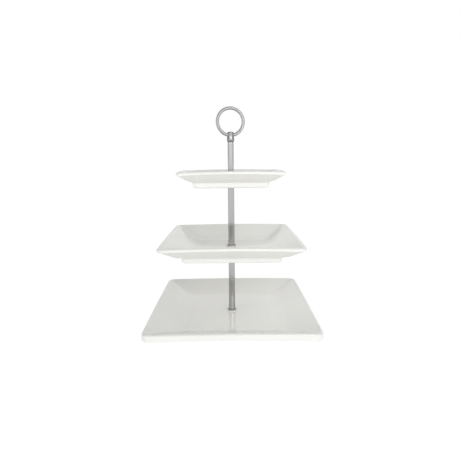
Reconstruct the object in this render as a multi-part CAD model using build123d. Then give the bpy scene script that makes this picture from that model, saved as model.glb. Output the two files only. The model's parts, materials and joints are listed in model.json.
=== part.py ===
from build123d import *
from dataclasses import dataclass
import os

# Three-tier cake stand: square porcelain plates on a column of chromed rods, with a carrying ring on top.
# Millimetres. The origin is on the table under the middle of the bottom plate's foot, +Z is up, and the
# plates' sides run along X and Y.


@dataclass
class Plate:
    """One square plate. Its heights count from its own foot."""

    name: str
    foot_z: float  # the foot's height above the table
    width: float  # side to side, over the rim
    height: float  # foot to the crest of the rim
    floor: float  # foot to the flat floor inside
    corner: float  # radius of the rim's corners, seen from above
    foot_half: float  # half the foot's width, at the table
    wall_slope: float  # rise over run of the inside walls
    rim_thickness: float  # height of the rim, from its lower edge to the crest
    crest: float  # width of the rim's crest
    dome: float  # the crest falls by this much towards the outside
    belly: float  # the sloping underside bulges down by this much

    @property
    def half(self):
        return self.width / 2

    @property
    def brim_half(self):
        return self.half - self.crest

    @property
    def under(self):
        return self.floor - FLOOR_THICKNESS

    @property
    def fold_half(self):
        """Half-width of the square where the floor turns up into the walls."""
        return self.brim_half - (self.height - self.floor) / self.wall_slope

    @property
    def floor_z(self):
        return self.foot_z + self.floor

    @property
    def under_z(self):
        return self.foot_z + self.under


# Plates
BOTTOM = Plate("bottom_plate", 0, 260, 29.9, 12, 12, 87.2, 0.42, 10.8, 3.6, 1, 1.5)
MIDDLE = Plate("middle_plate", 117.3, 215, 30.3, 8.6, 11, 76, 0.6, 5.3, 6, 0.5, 1.9)
TOP = Plate("top_plate", 228.1, 160, 25.6, 8, 10, 57.2, 0.64, 5, 6, 0.3, 1.1)
FOOT_HEIGHT = 8
FOOT_FLARE = 0.8  # the foot is this much wider on each side at its top
FOOT_ROUND = 2.2
FOOT_WALL = 6
FOOT_CORNER = 8
RECESS_CORNER = 5  # radius of the corners inside the foot
FLOOR_THICKNESS = 5
HOLE_RADIUS = 4
UNDERCUT = 1.6  # the rim stands out this far over the sloping underside
LIP = 0.8  # height of the slanted edge under the rim
BELLY_SHARE = 0.35  # where the underside bulges most, from the foot to the rim
CREST_OUTER_ROUND = 2.8
CREST_INNER_ROUND = 1.8
FOLD_EASE = 10  # the fold at the floor's edge is eased over this distance on each side

# Column
ROD_RADIUS = 5.2
UPPER_ROD_RADIUS = 4.7  # the short rod under the finial is a little slimmer
COLLAR_RADIUS = 7.3
COLLAR_THICKNESS = 2
COLLAR_ROUND = 0.7
PAD_RADIUS = 8.6
PAD_THICKNESS = 1.5
COLUMN_BORE = 3.2  # radius of the hole in collars and washers
THREAD_RADIUS = 2.95
TAPPED_RADIUS = 3
GRIP = 12  # length of thread inside a rod's end
TIP_GAP = 2  # left free beyond a thread's tip
ROD_CHAMFER = 0.4

# Screw under the bottom plate
SCREW_HEAD_RADIUS = 6
SCREW_HEAD_HEIGHT = 2.2
SCREW_HEAD_ROUND = 0.8
SLOT_WIDTH = 1.4
SLOT_DEPTH = 1.1
SEAL_RADIUS = 10
STEEL_WASHER_RADIUS = 8
STEEL_WASHER_THICKNESS = 1.2

# Finial and carrying ring
FINIAL_Z = 297.9  # top of the upper rod
FINIAL_HEIGHT = 16.4
FINIAL_NECK_RADIUS = 4.3
FINIAL_BEAD_RADIUS = 5.8
FINIAL_BEAD_Z = 4.4  # height of the bead above the finial's foot
FINIAL_WAIST_RADIUS = 5.25
FINIAL_WAIST_Z = 8.6
FINIAL_SHOULDER_RADIUS = 5.15
FINIAL_SHOULDER_Z = 13.6
FINIAL_GRIP = 5.5
RING_TOP_Z = 353.3
RING_RADIUS = 21  # to the middle of the wire
WIRE_RADIUS = 2.6
RING_TURN = 12  # degrees by which the ring's plane is turned about the column
RING_SAG = 0.32  # the wire's lowest point lies this far under the hole's axis, because the ring curves
RING_HOLE_RADIUS = 3

PLATES = (BOTTOM, MIDDLE, TOP)
RING_CENTRE_Z = RING_TOP_Z - WIRE_RADIUS - RING_RADIUS
RING_HOLE_Z = RING_CENTRE_Z - RING_RADIUS + RING_SAG
ROD_FOOT_GAP = PAD_THICKNESS + COLLAR_THICKNESS  # from a plate's floor to the rod that stands on it


def rounded_square(half, corner, z):
    """A horizontal square face with rounded corners."""
    return Plane.XY.offset(z) * RectangleRounded(2 * half, 2 * half, corner)


def stacked(*sections):
    """A solid with straight walls between (half-width, corner radius, height) sections."""
    return loft([rounded_square(*section) for section in sections], ruled=True)


def disc(outer, inner, low, high):
    """An upright round disc or tube with a hole through it."""
    height = high - low
    return Pos(0, 0, low + height / 2) * (Cylinder(outer, height) - Cylinder(inner, 2 * height))


def rod(radius, low, high):
    """An upright solid cylinder."""
    return Pos(0, 0, (low + high) / 2) * Cylinder(radius, high - low)


def level_edges(solid, z, half):
    """The edges of the rounded square of that half-width at height z."""
    def on_square(edge):
        box = edge.bounding_box()
        level = max(abs(box.min.Z - z), abs(box.max.Z - z)) < 0.01
        reach = max(abs(box.min.X), abs(box.max.X), abs(box.min.Y), abs(box.max.Y))
        return level and abs(reach - half) < 0.5

    return [edge for edge in solid.edges() if on_square(edge)]


def plate_shell(plate):
    """The outside of a plate: foot, sloping underside and rim."""
    rim_low = plate.height - plate.rim_thickness
    foot_top = plate.foot_half + FOOT_FLARE
    belly = foot_top + (plate.half - UNDERCUT - foot_top) * BELLY_SHARE
    belly_z = FOOT_HEIGHT + (rim_low - FOOT_HEIGHT) * BELLY_SHARE - plate.belly
    return stacked(
        (plate.foot_half, FOOT_CORNER, 0),
        (foot_top, FOOT_CORNER, FOOT_HEIGHT),
        (belly, FOOT_CORNER, belly_z),
        (plate.half - UNDERCUT, plate.corner - UNDERCUT, rim_low),
        (plate.half, plate.corner, rim_low + LIP),
        (plate.half, plate.corner, plate.height - plate.dome),
        (plate.brim_half - 1, plate.corner - plate.crest - 1, plate.height + plate.dome / plate.crest),
    )


def plate_well(plate):
    """The inside of a plate: straight walls, an eased fold and a flat floor."""
    corner = plate.corner - plate.crest
    ease_rise = FOLD_EASE * plate.wall_slope
    return stacked(
        (plate.brim_half + 1 / plate.wall_slope, corner, plate.height + 1),
        (plate.fold_half + FOLD_EASE, corner, plate.floor + ease_rise),
        (plate.fold_half - FOLD_EASE, corner, plate.floor),
    )


def plate_body(plate):
    """A square plate with a thick rounded rim, a foot ring and a hole for the column."""
    recess = stacked(
        (plate.foot_half - FOOT_WALL, RECESS_CORNER, 0),
        (plate.foot_half - FOOT_WALL, RECESS_CORNER, plate.under),
    )
    solid = plate_shell(plate) - plate_well(plate) - recess - Cylinder(HOLE_RADIUS, 4 * plate.height)
    solid = fillet(level_edges(solid, plate.height - plate.dome, plate.half), CREST_OUTER_ROUND)
    solid = fillet(level_edges(solid, plate.height, plate.brim_half), CREST_INNER_ROUND)
    solid = fillet(level_edges(solid, 0, plate.foot_half), FOOT_ROUND)
    return Pos(0, 0, plate.foot_z) * solid


def tapped_rod(radius, low, high):
    """A chromed rod with a threaded hole in each end."""
    depth = GRIP + TIP_GAP
    bar = rod(radius, low, high)
    bar = chamfer(bar.edges().filter_by(GeomType.CIRCLE), ROD_CHAMFER)
    return bar - rod(TAPPED_RADIUS, low, low + depth) - rod(TAPPED_RADIUS, high - depth, high)


def collar(floor_z):
    """The chromed flange under a rod, with rounded edges."""
    low = floor_z + PAD_THICKNESS
    solid = disc(COLLAR_RADIUS, COLUMN_BORE, low, low + COLLAR_THICKNESS)
    return fillet(solid.edges().filter_by(GeomType.CIRCLE).group_by(SortBy.RADIUS)[-1], COLLAR_ROUND)


def pad(low):
    """A soft round washer that keeps metal off the glaze."""
    return disc(PAD_RADIUS, COLUMN_BORE, low, low + PAD_THICKNESS)


def base_screw(head_low, tip_z):
    """A round-headed screw with a slot, driven up from under the bottom plate."""
    head = rod(SCREW_HEAD_RADIUS, head_low, head_low + SCREW_HEAD_HEIGHT)
    head = fillet(head.edges().group_by(Axis.Z)[0], SCREW_HEAD_ROUND)
    slot = Pos(0, 0, head_low) * Box(2.2 * SCREW_HEAD_RADIUS, SLOT_WIDTH, 2 * SLOT_DEPTH)
    return head - slot + rod(THREAD_RADIUS, head_low + SCREW_HEAD_HEIGHT, tip_z)


def ring_place(z):
    """The place on the column's axis at height z, turned as the ring is: its X runs along the ring's hole."""
    return Pos(0, 0, z) * Rot(0, 0, RING_TURN)


def finial():
    """The turned knob: a bead low down, a slight waist and a domed top, drilled across for the ring."""
    foot = (0, FINIAL_Z)
    neck = (FINIAL_NECK_RADIUS, FINIAL_Z)
    bead = (FINIAL_BEAD_RADIUS, FINIAL_Z + FINIAL_BEAD_Z)
    waist = (FINIAL_WAIST_RADIUS, FINIAL_Z + FINIAL_WAIST_Z)
    shoulder = (FINIAL_SHOULDER_RADIUS, FINIAL_Z + FINIAL_SHOULDER_Z)
    crown = (0, FINIAL_Z + FINIAL_HEIGHT)
    outline = [
        Line(foot, neck),
        Spline(neck, bead, waist, shoulder, crown, tangents=[(1, 0.6), (-1, 0)]),
        Line(crown, foot),
    ]
    knob = revolve(Plane.XZ * make_face(outline), Axis.Z)
    hole = ring_place(RING_HOLE_Z) * Rot(0, 90, 0) * Cylinder(RING_HOLE_RADIUS, 4 * FINIAL_BEAD_RADIUS)
    return knob - hole - rod(TAPPED_RADIUS, FINIAL_Z, FINIAL_Z + FINIAL_GRIP)


def carrying_ring():
    """A ring of round wire that stands on edge through the finial."""
    return ring_place(RING_CENTRE_Z) * Rot(90, 0, 0) * Torus(RING_RADIUS, WIRE_RADIUS)


def screw_stack():
    """What holds the bottom plate from below: a seal against the glaze, a steel washer and the screw."""
    seal_low = BOTTOM.under_z - PAD_THICKNESS
    washer_low = seal_low - STEEL_WASHER_THICKNESS
    rod_low = BOTTOM.floor_z + ROD_FOOT_GAP
    return {
        "base_seal_washer": disc(SEAL_RADIUS, COLUMN_BORE, seal_low, BOTTOM.under_z),
        "base_steel_washer": disc(STEEL_WASHER_RADIUS, COLUMN_BORE, washer_low, seal_low),
        "base_screw": base_screw(washer_low - SCREW_HEAD_HEIGHT, rod_low + GRIP),
    }


def tier(name, plate, rod_name, rod_radius, rod_top):
    """The rod that stands on a plate, with the collar and the pad under it."""
    return {
        f"{name}_upper_pad": pad(plate.floor_z),
        f"{name}_collar": collar(plate.floor_z),
        rod_name: tapped_rod(rod_radius, plate.floor_z + ROD_FOOT_GAP, rod_top),
    }


def plate_joint(name, plate):
    """What joins two rods through a raised plate: the pad under it and the stud through its hole."""
    rod_top = plate.under_z - PAD_THICKNESS
    rod_low = plate.floor_z + ROD_FOOT_GAP
    return {
        f"{name}_lower_pad": pad(rod_top),
        f"{name}_stud": rod(THREAD_RADIUS, rod_top - GRIP, rod_low + GRIP),
    }


def parts():
    """Every piece of the stand, by node name."""
    pieces = {plate.name: plate_body(plate) for plate in PLATES}
    pieces |= screw_stack()
    pieces |= tier("bottom", BOTTOM, "lower_rod", ROD_RADIUS, MIDDLE.under_z - PAD_THICKNESS)
    pieces |= plate_joint("middle", MIDDLE)
    pieces |= tier("middle", MIDDLE, "middle_rod", ROD_RADIUS, TOP.under_z - PAD_THICKNESS)
    pieces |= plate_joint("top", TOP)
    pieces |= tier("top", TOP, "upper_rod", UPPER_ROD_RADIUS, FINIAL_Z)
    pieces["finial_stud"] = rod(THREAD_RADIUS, FINIAL_Z - GRIP, FINIAL_Z + FINIAL_GRIP)
    pieces["finial"] = finial()
    pieces["carrying_ring"] = carrying_ring()
    return pieces


os.makedirs("parts", exist_ok=True)
for node, shape in parts().items():
    export_step(shape, f"parts/{node}.step")
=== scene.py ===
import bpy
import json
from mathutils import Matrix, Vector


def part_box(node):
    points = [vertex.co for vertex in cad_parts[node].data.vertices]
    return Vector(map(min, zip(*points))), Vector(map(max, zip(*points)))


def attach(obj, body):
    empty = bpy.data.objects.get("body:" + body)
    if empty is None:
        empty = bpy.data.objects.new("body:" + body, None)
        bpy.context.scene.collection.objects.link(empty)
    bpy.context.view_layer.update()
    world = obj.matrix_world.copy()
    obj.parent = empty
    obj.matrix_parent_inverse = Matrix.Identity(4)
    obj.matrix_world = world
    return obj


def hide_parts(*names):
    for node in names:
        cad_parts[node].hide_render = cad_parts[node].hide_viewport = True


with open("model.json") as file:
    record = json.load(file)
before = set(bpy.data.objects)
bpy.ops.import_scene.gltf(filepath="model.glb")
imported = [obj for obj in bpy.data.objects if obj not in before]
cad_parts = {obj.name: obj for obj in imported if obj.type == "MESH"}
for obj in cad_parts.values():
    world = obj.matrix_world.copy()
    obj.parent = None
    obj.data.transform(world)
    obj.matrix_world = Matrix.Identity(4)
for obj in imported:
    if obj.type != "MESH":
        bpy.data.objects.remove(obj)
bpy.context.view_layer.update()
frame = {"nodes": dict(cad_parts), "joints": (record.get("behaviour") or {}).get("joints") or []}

import json
from math import acos, cos, pi, radians, sin, tan
from typing import NamedTuple

import bpy
import numpy as np
from mathutils import Matrix, Vector

# The looks of a three-tier cake stand. Metres, in the CAD's own frame: +Z is up, and the camera is on the -Y
# side.

MM = 0.001

# Camera
CAMERA_DISTANCE = 0.6138  # from the column's axis
CAMERA_HEIGHT = 0.265
CAMERA_PITCH = radians(-10.235)
CAMERA_TURN = radians(0.22)
CAMERA_ROLL = radians(-0.58)
CAMERA_LENS = 29.05
SENSOR_WIDTH = 36
CLIP_START = 0.01

# Lamps: degrees round to the camera's right and up, then width, height and power
SOFTBOXES = {
    "front_softbox": (12, 23, 0.8, 0.5, 5.6),
    "right_softbox": (52, 22, 0.8, 0.7, 2.2),
    "left_softbox": (-42, 22, 0.8, 0.7, 2.4),
    "high_softbox": (35, 50, 0.5, 0.5, 1.5),
}
LAMP_DISTANCE = 1.6
LAMP_AIM = (0, 0, 0.16)

# Floor
FLOOR_HALF = 30
FLOOR_GAP = 0.2 * MM  # it lies this far under the foot, so that the two surfaces don't coincide


class Plate(NamedTuple):
    """One square plate. Its width and height are those of its CAD box."""

    body: str
    pad_over: str  # the washer on its floor
    pad_under: str  # the washer against its underside
    corner: float  # radius of the rim's corners, seen from above
    foot_half: float  # half the foot's width, at the table
    wall_slope: float  # rise over run of the inside walls
    rim_thickness: float  # height of the rim, from its lower edge to the crest
    crest: float  # width of the rim's crest
    dome: float  # the crest falls by this much towards the outside
    belly: float  # the sloping underside bulges down by this much
    crest_round: float  # radius of the crest's outer edge
    fold_radius: float  # radius of the fold between floor and wall


PLATES = {
    "bottom_plate": Plate(
        body="bottom_tier", pad_over="bottom_upper_pad", pad_under="base_seal_washer",
        corner=12 * MM, foot_half=87.2 * MM, wall_slope=0.42, rim_thickness=10.8 * MM, crest=3.6 * MM,
        dome=1 * MM, belly=1.5 * MM, crest_round=3 * MM, fold_radius=60 * MM),
    "middle_plate": Plate(
        body="middle_tier", pad_over="middle_upper_pad", pad_under="middle_lower_pad",
        corner=11 * MM, foot_half=76 * MM, wall_slope=0.6, rim_thickness=5.3 * MM, crest=6 * MM,
        dome=0.5 * MM, belly=1.9 * MM, crest_round=2.9 * MM, fold_radius=45 * MM),
    "top_plate": Plate(
        body="top_tier", pad_over="top_upper_pad", pad_under="top_lower_pad",
        corner=10 * MM, foot_half=57.2 * MM, wall_slope=0.64, rim_thickness=5 * MM, crest=6 * MM,
        dome=0.3 * MM, belly=1.1 * MM, crest_round=2.8 * MM, fold_radius=45 * MM),
}

# All plates: the same in the CAD
FOOT_HEIGHT = 8 * MM
FOOT_FLARE = 0.8 * MM  # the foot is this much wider on each side at its top
FOOT_WALL = 6 * MM
FOOT_CORNER = 8 * MM
RECESS_CORNER = 5 * MM  # radius of the corners inside the foot
HOLE_RADIUS = 4 * MM
UNDERCUT = 1.6 * MM  # the rim stands out this far over the sloping underside
LIP = 0.8 * MM  # height of the slanted edge under the rim
BELLY_SHARE = 0.35  # where the underside bulges most, from the foot to the rim

# All plates: rounded and sagged as fired clay is, more than in the CAD
HOLE_ROUND = 0.5 * MM
RECESS_ROUND = 1.2 * MM  # between the recess and the inside of the foot
FOOT_INNER_ROUND = 1 * MM
FOOT_ROUND = 2.5 * MM
FOOT_TOP_ROUND = 2 * MM
BELLY_ROUND = 30 * MM
RIM_UNDER_ROUND = 3 * MM
LIP_ROUND = 1.2 * MM
BRIM_ROUND = 3 * MM  # the crest's inner edge
CREST_DROOP = 1.3 * MM  # the rim's corners hang this much lower than the middles of its sides
EDGE_DROOP = 2.1 * MM  # the rim's lower edge hangs this much lower there

# All plates: only in this mesh
FOLD_CORNER = 5 * MM  # radius of the fold's corners, seen from above
FLOOR_MARGIN = 16 * MM  # the floor stays square this far inside the fold
SEAT_RADIUS = 13 * MM  # from here to the hole, floor and underside are drawn as circles
BARE_HEIGHT = 0.25 * MM  # the foot's edge is free of glaze up to here
SIDE_STEPS = 24
CORNER_STEPS = 10
SQUARE_STEPS = 4 * (SIDE_STEPS + CORNER_STEPS)
CIRCLE_SIDE = radians(30)  # half the arc of the hole's circle that stands for one side of the square
PLATE_ARC_STEPS = 8
PLATE_SPACING = 8 * MM

# Outlines of all pieces
SHORTEST_ARC = 0.01 * MM  # a corner whose arc reaches less far than this stays sharp
SHORTEST_RUN = 0.02 * MM  # a straight run shorter than this gets no rows
NEAR_ARC = 1.2 * MM  # a straight run has a row at most this far from each end

# Turned parts
LATHE_STEPS = 96
LATHE_ARC_STEPS = 6
LATHE_SPACING = 200 * MM  # longer than any run, so that straight runs stay nearly whole
TAPPED_RADIUS = 3 * MM
TAPPED_DEPTH = 14 * MM
ROD_BEVEL = 0.4 * MM
ROD_END_ROUND = 0.1 * MM
ROD_SIDE_ROUND = 0.3 * MM
BORE_RADIUS = 3.2 * MM
COLLAR_ROUND = 0.7 * MM
PAD_ROUND = 0.3 * MM
STEEL_WASHER_ROUND = 0.15 * MM

# Carrying ring
RING_WIRE = 2.55 * MM  # 0.05 mm less than in the CAD, so that it clears the facets of the finial's hole
RING_STEPS = 160
WIRE_STEPS = 32

# Finishes
NOISE_RANGE = (0.3, 0.7)  # most of a noise texture's values lie between these
CHROMES = {  # grey, roughness, and how light it is at a grazing angle
    # the rods' greys rise with height: painted shading, each rod lighter the higher it stands
    "lower_rod_chrome": (0.46, 0.15, 0.5),
    "middle_rod_chrome": (0.49, 0.15, 0.5),
    "upper_rod_chrome": (0.535, 0.15, 0.5),
    "chrome": (0.5, 0.15, 0.5),
    # far darker than the rest: painted shade on the finial's knob
    "finial_chrome": (0.31, 0.25, 0.5),
    # a little darker than the rest: painted shade on the ring
    "ring_chrome": (0.46, 0.5, 1.0),
}
CHROME_MOTTLE = 0.025  # chrome is this much lighter and darker than its mean grey in places
CHROME_WIPE = 0.03  # and this much rougher and smoother than its mean roughness


# ---- Outlines ---------------------------------------------------------------------------------------------

def eased(points, steps, spacing):
    """Rows along an outline whose corners are rounded.

    A point is (across, up, ..., radius). All but the last change evenly along each straight run, and radius
    is that of the arc at the point, which gets the given steps. Straight runs are divided, closely next to
    an arc.
    """
    rows = [np.array(points[0][:-1], float)]
    for before, here, after in zip(points, points[1:], points[2:]):
        origin = np.array(here[:-1], float)
        back = np.array(before[:-1], float) - origin
        ahead = np.array(after[:-1], float) - origin
        back /= np.linalg.norm(back[:2])
        ahead /= np.linalg.norm(ahead[:2])
        turn = pi - acos(np.clip(back[:2] @ ahead[:2], -1, 1))
        reach = here[-1] * tan(turn / 2)
        start, end = origin + back * reach, origin + ahead * reach
        rows += divided(rows[-1], start, spacing)
        if reach < SHORTEST_ARC:
            continue
        middle = (back + ahead)[:2]
        centre = origin[:2] + middle / np.linalg.norm(middle) * here[-1] / cos(turn / 2)
        first_arm = start[:2] - centre
        last_arm = end[:2] - centre
        for step in range(1, steps + 1):
            t = step / steps
            row = start + (end - start) * t
            row[:2] = centre + (sin((1 - t) * turn) * first_arm + sin(t * turn) * last_arm) / sin(turn)
            rows.append(row)
    rows += divided(rows[-1], np.array(points[-1][:-1], float), spacing)
    return rows


def divided(start, end, spacing):
    """The rows after start, up to end, along a straight run."""
    length = np.linalg.norm((end - start)[:2])
    if length < SHORTEST_RUN:
        return []
    near = min(NEAR_ARC, length / 3)
    count = max(1, round((length - 2 * near) / spacing))
    stops = [near + (length - 2 * near) * k / count for k in range(count + 1)] + [length]
    return [start + (end - start) * stop / length for stop in stops]


def square_points(half, corner, circle):
    """Once round a square with rounded corners, drawn towards a circle of radius half by the share circle."""
    flat = half - corner
    side = [(half, -flat + 2 * flat * k / SIDE_STEPS, -CIRCLE_SIDE + 2 * CIRCLE_SIDE * k / SIDE_STEPS)
            for k in range(SIDE_STEPS)]
    arc = []
    for k in range(CORNER_STEPS):
        bend = pi / 2 * k / CORNER_STEPS
        angle = CIRCLE_SIDE + (pi / 2 - 2 * CIRCLE_SIDE) * k / CORNER_STEPS
        arc.append((flat + corner * cos(bend), flat + corner * sin(bend), angle))
    points = []
    for quarter in range(4):
        turn = quarter * pi / 2
        for x, y, angle in side + arc:
            x += (half * cos(angle) - x) * circle
            y += (half * sin(angle) - y) * circle
            points.append((x * cos(turn) - y * sin(turn), x * sin(turn) + y * cos(turn)))
    return points


# ---- Meshes -----------------------------------------------------------------------------------------------

def mesh_object(name, vertices, faces, materials, face_material=None):
    """A smooth mesh in the scene; face_material says which of the materials a face gets."""
    mesh = bpy.data.meshes.new(name)
    mesh.from_pydata([tuple(v) for v in vertices], [], faces)
    for material in materials:
        mesh.materials.append(material)
    for polygon in mesh.polygons:
        polygon.use_smooth = True
        if face_material:
            polygon.material_index = face_material(polygon)
    mesh.validate()
    piece = bpy.data.objects.new(name, mesh)
    bpy.context.scene.collection.objects.link(piece)
    return piece


def band_faces(rows, columns, closed=True):
    """Quads between neighbouring rows of points; closed joins the last row to the first."""
    faces = []
    for row in range(rows if closed else rows - 1):
        here, above = row * columns, (row + 1) % rows * columns
        for k in range(columns):
            after = (k + 1) % columns
            faces.append((here + k, here + after, above + after, above + k))
    return faces


def lathe(name, outline, z, material, closed=True):
    """A turned piece from (radius, height above z, arc radius) points.

    A closed outline goes once round the section of a tube. An open one starts and ends on the axis.
    """
    loop = [*outline, outline[0]] if closed else outline
    rows = eased(loop, LATHE_ARC_STEPS, LATHE_SPACING)[1:]
    if not closed:
        rows = rows[:-1]
    vertices = []
    for across, up in rows:
        vertices += [(across * cos(2 * pi * k / LATHE_STEPS), across * sin(2 * pi * k / LATHE_STEPS), z + up)
                     for k in range(LATHE_STEPS)]
    faces = band_faces(len(rows), LATHE_STEPS, closed)
    if not closed:
        last = (len(rows) - 1) * LATHE_STEPS
        faces += [list(reversed(range(LATHE_STEPS))), list(range(last, last + LATHE_STEPS))]
    return mesh_object(name, vertices, faces, [material])


def stand_in(piece, node, body):
    """piece is shown for the CAD node and moves with the body."""
    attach(piece, body)
    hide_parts(node)


# ---- Materials --------------------------------------------------------------------------------------------

def fill_ramp(ramp, stops):
    """Gives a colour ramp node its stops, each of them (position, red, green, blue)."""
    elements = ramp.color_ramp.elements
    while len(elements) < len(stops):
        elements.new(0.5)
    for element, (position, *rgb) in zip(elements, stops):
        element.position = position
        element.color = (*rgb, 1)


class Material:
    """A Principled material in the making, with noise measured in the object's own metres."""

    def __init__(self, name, **values):
        self.material = bpy.data.materials.new(name)
        self.material.use_nodes = True
        self.tree = self.material.node_tree
        self.shader = self.tree.nodes["Principled BSDF"]
        self.place = self.tree.nodes.new("ShaderNodeTexCoord").outputs["Object"]
        for socket, value in values.items():
            self.shader.inputs[socket.replace("_", " ")].default_value = value

    def link(self, start, end):
        self.tree.links.new(start, end)

    def noise(self, scale, detail, stretch=(1, 1, 1)):
        """Noise of that many cells to the metre."""
        mapping = self.tree.nodes.new("ShaderNodeMapping")
        mapping.inputs["Scale"].default_value = stretch
        node = self.tree.nodes.new("ShaderNodeTexNoise")
        node.inputs["Scale"].default_value = scale
        node.inputs["Detail"].default_value = detail
        self.link(self.place, mapping.inputs["Vector"])
        self.link(mapping.outputs["Vector"], node.inputs["Vector"])
        return node.outputs["Fac"]

    def colour(self, value, *stops):
        """The base colour follows value along the stops."""
        ramp = self.tree.nodes.new("ShaderNodeValToRGB")
        fill_ramp(ramp, stops)
        self.link(value, ramp.inputs["Fac"])
        self.link(ramp.outputs["Color"], self.shader.inputs["Base Color"])

    def roughness(self, value, low, high):
        """The roughness goes from low to high with value, a noise."""
        node = self.tree.nodes.new("ShaderNodeMapRange")
        for socket, number in zip(("From Min", "From Max", "To Min", "To Max"), (*NOISE_RANGE, low, high)):
            node.inputs[socket].default_value = number
        self.link(value, node.inputs["Value"])
        self.link(node.outputs["Result"], self.shader.inputs["Roughness"])

    def bump(self, height, distance, strength, under=None):
        """Relief of the height times distance, on top of the relief under."""
        node = self.tree.nodes.new("ShaderNodeBump")
        node.inputs["Strength"].default_value = strength
        node.inputs["Distance"].default_value = distance
        self.link(height, node.inputs["Height"])
        if under:
            self.link(under, node.inputs["Normal"])
        self.link(node.outputs["Normal"], self.shader.inputs["Normal"])
        return node.outputs["Normal"]


def glaze():
    """White glazed porcelain: a glassy coat that pools unevenly over a warm white body."""
    m = Material("white_glaze", IOR=1.5)
    m.colour(m.noise(9, 3), (0.30, 0.82, 0.817, 0.788), (0.72, 0.85, 0.847, 0.818))
    m.roughness(m.noise(35, 4), 0.06, 0.13)
    pooled = m.bump(m.noise(14, 1), 0.1 * MM, 0.25)
    m.bump(m.noise(420, 2), 0.01 * MM, 0.2, under=pooled)
    return m.material


def bisque():
    """The foot's bare edge, wiped free of glaze: matt, slightly sandy."""
    m = Material("bare_foot", IOR=1.5)
    m.colour(m.noise(260, 4), (0.3, 0.62, 0.60, 0.56), (0.7, 0.74, 0.72, 0.68))
    m.roughness(m.noise(300, 3), 0.6, 0.85)
    m.bump(m.noise(900, 4), 0.12 * MM, 0.8)
    return m.material


def chrome(name):
    """Chrome plate, with faint wipe marks and the last trace of the polishing belt. The mean greys of the
    rods', finial's and ring's copies carry painted light and shade.
    """
    grey, roughness, edge = CHROMES[name]
    m = Material(name, Metallic=1.0, Specular_Tint=(edge, edge, edge, 1))
    dark = grey - CHROME_MOTTLE
    light = grey + CHROME_MOTTLE
    m.colour(m.noise(28, 2, (1, 1, 0.3)), (0.3, dark, dark, dark), (0.7, light, light, light))
    m.roughness(m.noise(60, 4, (1, 1, 0.15)), roughness - CHROME_WIPE, roughness + CHROME_WIPE)
    m.bump(m.noise(500, 2, (1, 1, 0.08)), 0.01 * MM, 0.35)
    return m.material


def plain_steel():
    """Zinc-plated steel, dull and lightly brushed."""
    m = Material("plain_steel", Metallic=1.0)
    m.colour(m.noise(160, 4), (0.3, 0.44, 0.45, 0.46), (0.7, 0.60, 0.61, 0.62))
    m.roughness(m.noise(240, 3), 0.28, 0.45)
    m.bump(m.noise(1500, 2, (1, 0.05, 1)), 0.03 * MM, 0.5)
    return m.material


def nylon():
    """White nylon: matt and slightly cloudy."""
    m = Material("white_nylon", IOR=1.5)
    m.colour(m.noise(200, 3), (0.3, 0.83, 0.83, 0.81), (0.7, 0.90, 0.90, 0.885))
    m.roughness(m.noise(350, 3), 0.38, 0.55)
    m.bump(m.noise(900, 3), 0.03 * MM, 0.5)
    return m.material


def rubber():
    """Off-white sealing rubber."""
    m = Material("seal_rubber", IOR=1.5)
    m.colour(m.noise(220, 4), (0.3, 0.62, 0.62, 0.60), (0.7, 0.74, 0.74, 0.72))
    m.roughness(m.noise(300, 3), 0.65, 0.85)
    m.bump(m.noise(1100, 4), 0.06 * MM, 0.6)
    return m.material


# ---- Pieces -----------------------------------------------------------------------------------------------

def plate_section(shape, half, height, floor, under):
    """Rows round a plate's section: hole, recess, foot, underside, rim, wall, floor and hole again."""
    foot = shape.foot_half
    foot_top = foot + FOOT_FLARE
    rim_low = height - shape.rim_thickness
    belly = foot_top + (half - UNDERCUT - foot_top) * BELLY_SHARE
    belly_z = FOOT_HEIGHT + (rim_low - FOOT_HEIGHT) * BELLY_SHARE - shape.belly
    brim = half - shape.crest
    fold = brim - (height - floor) / shape.wall_slope
    inner_corner = shape.corner - shape.crest
    points = [  # across, up, corner, share of circle, droop, arc
        (HOLE_RADIUS, (under + floor) / 2, HOLE_RADIUS, 1, 0, 0),
        (HOLE_RADIUS, under, HOLE_RADIUS, 1, 0, HOLE_ROUND),
        (SEAT_RADIUS, under, SEAT_RADIUS, 1, 0, 0),
        (foot - FOOT_WALL, under, RECESS_CORNER, 0, 0, RECESS_ROUND),
        (foot - FOOT_WALL, 0, RECESS_CORNER, 0, 0, FOOT_INNER_ROUND),
        (foot, 0, FOOT_CORNER, 0, 0, FOOT_ROUND),
        (foot_top, FOOT_HEIGHT, FOOT_CORNER, 0, 0, FOOT_TOP_ROUND),
        (belly, belly_z, FOOT_CORNER, 0, EDGE_DROOP * BELLY_SHARE, BELLY_ROUND),
        (half - UNDERCUT, rim_low, shape.corner - UNDERCUT, 0, EDGE_DROOP, RIM_UNDER_ROUND),
        (half, rim_low + LIP, shape.corner, 0, EDGE_DROOP, LIP_ROUND),
        (half, height - shape.dome, shape.corner, 0, CREST_DROOP, shape.crest_round),
        (brim, height, inner_corner, 0, CREST_DROOP, BRIM_ROUND),
        (fold, floor, FOLD_CORNER, 0, 0, shape.fold_radius),
        (fold - FLOOR_MARGIN, floor, FOLD_CORNER, 0, 0, 0),
        (SEAT_RADIUS, floor, SEAT_RADIUS, 1, 0, 0),
        (HOLE_RADIUS, floor, HOLE_RADIUS, 1, 0, HOLE_ROUND),
        (HOLE_RADIUS, (under + floor) / 2, HOLE_RADIUS, 1, 0, 0),
    ]
    return eased(points, PLATE_ARC_STEPS, PLATE_SPACING)[1:]


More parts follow.
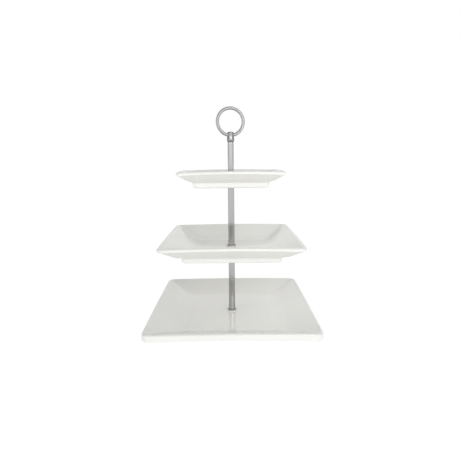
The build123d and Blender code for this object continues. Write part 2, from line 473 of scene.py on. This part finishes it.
def plate(node, shape, materials):
    """One plate: its section led once round a square, in the glaze, with the foot's edge left bare."""
    low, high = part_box(node)
    foot_z = low.z
    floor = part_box(shape.pad_over)[0].z - foot_z
    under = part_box(shape.pad_under)[1].z - foot_z
    section = plate_section(shape, high.x, high.z - foot_z, floor, under)
    vertices = []
    for across, up, corner, circle, droop in section:
        for x, y in square_points(across, min(corner, across), circle):
            along = min(abs(x), abs(y)) / max(abs(x), abs(y))
            vertices.append((x, y, foot_z + up - droop * along ** 2))
    piece = mesh_object(node + "_glazed", vertices, band_faces(len(section), SQUARE_STEPS), materials,
                        lambda polygon: int(polygon.center.z < foot_z + BARE_HEIGHT))
    stand_in(piece, node, shape.body)


def rod(node, material):
    """A round rod with a threaded hole in each end and a small chamfer at each edge."""
    low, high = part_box(node)
    radius, length = high.x, high.z - low.z
    lower_half = [
        (0, TAPPED_DEPTH, 0), (TAPPED_RADIUS, TAPPED_DEPTH, 0), (TAPPED_RADIUS, 0, 0),
        (radius - ROD_BEVEL, 0, ROD_END_ROUND), (radius, ROD_BEVEL, ROD_SIDE_ROUND),
    ]
    upper_half = [(across, length - up, arc) for across, up, arc in reversed(lower_half)]
    piece = lathe(node + "_chromed", lower_half + upper_half, low.z, material, closed=False)
    stand_in(piece, node, "column")


def washer(node, material, edge, suffix):
    """A round disc with a hole and rounded edges."""
    low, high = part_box(node)
    radius, height = high.x, high.z - low.z
    outline = [(BORE_RADIUS, 0, 0), (radius, 0, edge), (radius, height, edge), (BORE_RADIUS, height, 0)]
    piece = lathe(node + suffix, outline, low.z, material)
    stand_in(piece, node, "column")


def carrying_ring(material):
    """The ring of round wire, on edge through the finial."""
    joint = next(j for j in frame["joints"] if j["name"] == "ring_swing")
    along = Vector(joint["axis"]).normalized()
    through = along.cross(Vector((0, 0, 1)))
    low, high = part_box("carrying_ring")
    centre = (low + high) / 2
    radius = (high.z - low.z) / 2 - RING_WIRE
    vertices = []
    for k in range(RING_STEPS):
        turn = 2 * pi * k / RING_STEPS
        outward = along * sin(turn) + Vector((0, 0, 1)) * cos(turn)
        for n in range(WIRE_STEPS):
            lean = 2 * pi * n / WIRE_STEPS
            reach = outward * (radius + RING_WIRE * cos(lean))
            vertices.append(centre + reach + through * RING_WIRE * sin(lean))
    piece = mesh_object("carrying_ring_chromed", vertices, band_faces(RING_STEPS, WIRE_STEPS), [material])
    stand_in(piece, "carrying_ring", "ring")


def paint(material, *nodes):
    """The CAD nodes whose own mesh is shown get this material."""
    for node in nodes:
        shown = frame["nodes"][node]
        shown.data.materials.clear()
        shown.data.materials.append(material)


# ---- Studio -----------------------------------------------------------------------------------------------

def camera():
    """The camera in front of the stand, looking slightly down."""
    data = bpy.data.cameras.new("camera")
    data.lens = CAMERA_LENS
    data.sensor_width = SENSOR_WIDTH
    data.clip_start = CLIP_START
    place = Matrix.Translation((0, -CAMERA_DISTANCE, CAMERA_HEIGHT))
    turn = Matrix.Rotation(CAMERA_TURN, 4, "Z")
    pitch = Matrix.Rotation(pi / 2 + CAMERA_PITCH, 4, "X")
    roll = Matrix.Rotation(CAMERA_ROLL, 4, "Z")
    eye = bpy.data.objects.new("camera", data)
    eye.matrix_world = place @ turn @ pitch @ roll
    bpy.context.scene.collection.objects.link(eye)
    bpy.context.scene.camera = eye


def softbox(name, azimuth, elevation, width, height, power):
    """A rectangular lamp that faces the stand. Azimuth 0 is the camera's side, and it grows to the right."""
    a = radians(azimuth)
    e = radians(elevation)
    away = Vector((sin(a) * cos(e), -cos(a) * cos(e), sin(e)))
    data = bpy.data.lights.new(name, "AREA")
    data.shape = "RECTANGLE"
    data.size = width
    data.size_y = height
    data.energy = power
    lamp = bpy.data.objects.new(name, data)
    lamp.location = Vector(LAMP_AIM) + away * LAMP_DISTANCE
    lamp.rotation_mode = "QUATERNION"
    lamp.rotation_quaternion = away.to_track_quat("Z", "Y")
    bpy.context.scene.collection.objects.link(lamp)


class Room:
    """The light from all round, in the making: a brightness for each direction. A direction's length is 1."""

    def __init__(self, name):
        world = bpy.data.worlds.new(name)
        bpy.context.scene.world = world
        world.use_nodes = True
        self.tree = world.node_tree
        place = self.tree.nodes.new("ShaderNodeTexCoord")
        parts = self.tree.nodes.new("ShaderNodeSeparateXYZ")
        self.tree.links.new(place.outputs["Generated"], parts.inputs["Vector"])
        self.parts = parts.outputs

    def along(self, axis, *stops):
        """(share, grey) stops from one side, 0, to the other, 1: left to right on X, near to far on Y."""
        share = self.tree.nodes.new("ShaderNodeMapRange")
        share.inputs["From Min"].default_value = -1
        self.tree.links.new(self.parts[axis], share.inputs["Value"])
        ramp = self.tree.nodes.new("ShaderNodeValToRGB")
        ramp.color_ramp.interpolation = "EASE"
        fill_ramp(ramp, [(position, grey, grey, grey) for position, grey in stops])
        self.tree.links.new(share.outputs["Result"], ramp.inputs["Fac"])
        return ramp.outputs["Color"]

    def mixed(self, first, second, share=None, blend="MIX"):
        """first blended with second, or with white if there is none, by the share, or wholly."""
        mix = self.tree.nodes.new("ShaderNodeMixRGB")
        mix.blend_type = blend
        mix.inputs["Fac"].default_value = 1
        mix.inputs["Color2"].default_value = (1, 1, 1, 1)
        self.tree.links.new(first, mix.inputs["Color1"])
        if second:
            self.tree.links.new(second, mix.inputs["Color2"])
        if share:
            self.tree.links.new(share, mix.inputs["Fac"])
        return mix.outputs["Color"]

    def stacked(self, lower, upper, start, end):
        """lower below the height start, upper above the height end."""
        share = self.tree.nodes.new("ShaderNodeMapRange")
        share.interpolation_type = "SMOOTHSTEP"
        share.inputs["From Min"].default_value = start
        share.inputs["From Max"].default_value = end
        self.tree.links.new(self.parts["Z"], share.inputs["Value"])
        return self.mixed(lower, upper, share=share.outputs["Result"])

    def lit_by(self, light):
        """The room gives this light. The camera itself sees plain white."""
        seen = self.tree.nodes.new("ShaderNodeLightPath").outputs["Is Camera Ray"]
        background = self.tree.nodes["Background"]
        self.tree.links.new(self.mixed(light, None, share=seen), background.inputs["Color"])


def studio_world():
    """A white studio: walls brightest at the camera's end and the far end, windows overhead on the right."""
    room = Room("studio")
    skirting = room.along("Y", (0.15, 1.04), (0.35, 0.85), (0.66, 0.7), (0.84, 0.5))
    low_walls = room.along("Y", (0, 0.9), (0.15, 1.04), (0.35, 0.85), (0.66, 0.82), (0.84, 1.03))
    high_walls = room.along("Y", (0, 0.7), (0.2, 0.7), (0.4, 0.3), (0.65, 0.3), (0.84, 1.03))
    ceiling = room.along("Y", (0, 0.35), (0.5, 0.3), (0.68, 1.0))
    windows = room.along("X", (0.3, 0.35), (0.5, 0.7), (0.62, 1.15))
    low = room.stacked(skirting, low_walls, 0.06, 0.16)
    walls = room.stacked(low, high_walls, 0.1, 0.3)
    overhead = room.mixed(ceiling, windows, blend="MULTIPLY")
    room.lit_by(room.stacked(walls, overhead, 0.45, 0.75))


def studio_floor():
    """A pale floor, lit from within so that it is nearly free of shadow."""
    m = Material("floor", Roughness=0.6, Emission_Strength=1.0, Specular_IOR_Level=0.0)
    m.shader.inputs["Base Color"].default_value = (0.02, 0.02, 0.02, 1)
    m.shader.inputs["Emission Color"].default_value = (1, 1, 1, 1)
    half = FLOOR_HALF
    corners = [(-half, -half, 0), (half, -half, 0), (half, half, 0), (-half, half, 0)]
    ground = mesh_object("floor", corners, [(0, 1, 2, 3)], [m.material])
    ground.location.z = -FLOOR_GAP


# ---- Cake stand -------------------------------------------------------------------------------------------

def plates():
    """The three plates, all of the same porcelain."""
    porcelain = [glaze(), bisque()]
    for node, shape in PLATES.items():
        plate(node, shape, porcelain)


def column():
    """Rods, collars, washers and screws, from the table to the finial."""
    for node in ("lower_rod", "middle_rod", "upper_rod"):
        # each rod gets its own copy of the chrome, with painted shading: lighter the higher the rod stands
        rod(node, chrome(node + "_chrome"))
    polished = chrome("chrome")
    for node in ("bottom_collar", "middle_collar", "top_collar"):
        washer(node, polished, COLLAR_ROUND, "_chromed")
    white = nylon()
    pads = ("bottom_upper_pad", "middle_upper_pad", "middle_lower_pad", "top_upper_pad", "top_lower_pad")
    for node in pads:
        washer(node, white, PAD_ROUND, "_moulded")
    washer("base_seal_washer", rubber(), PAD_ROUND, "_moulded")
    steel = plain_steel()
    washer("base_steel_washer", steel, STEEL_WASHER_ROUND, "_pressed")
    paint(steel, "base_screw", "middle_stud", "top_stud", "finial_stud")
    # the finial's chrome is darker than the rest: painted shade
    paint(chrome("finial_chrome"), "finial")


def main():
    camera()
    studio_world()
    studio_floor()
    for name, values in SOFTBOXES.items():
        softbox(name, *values)
    plates()
    column()
    # the ring's chrome is a little darker than the rest: painted shade
    carrying_ring(chrome("ring_chrome"))


bpy.context.scene.view_settings.view_transform = "Standard"
main()
bpy.context.view_layer.update()
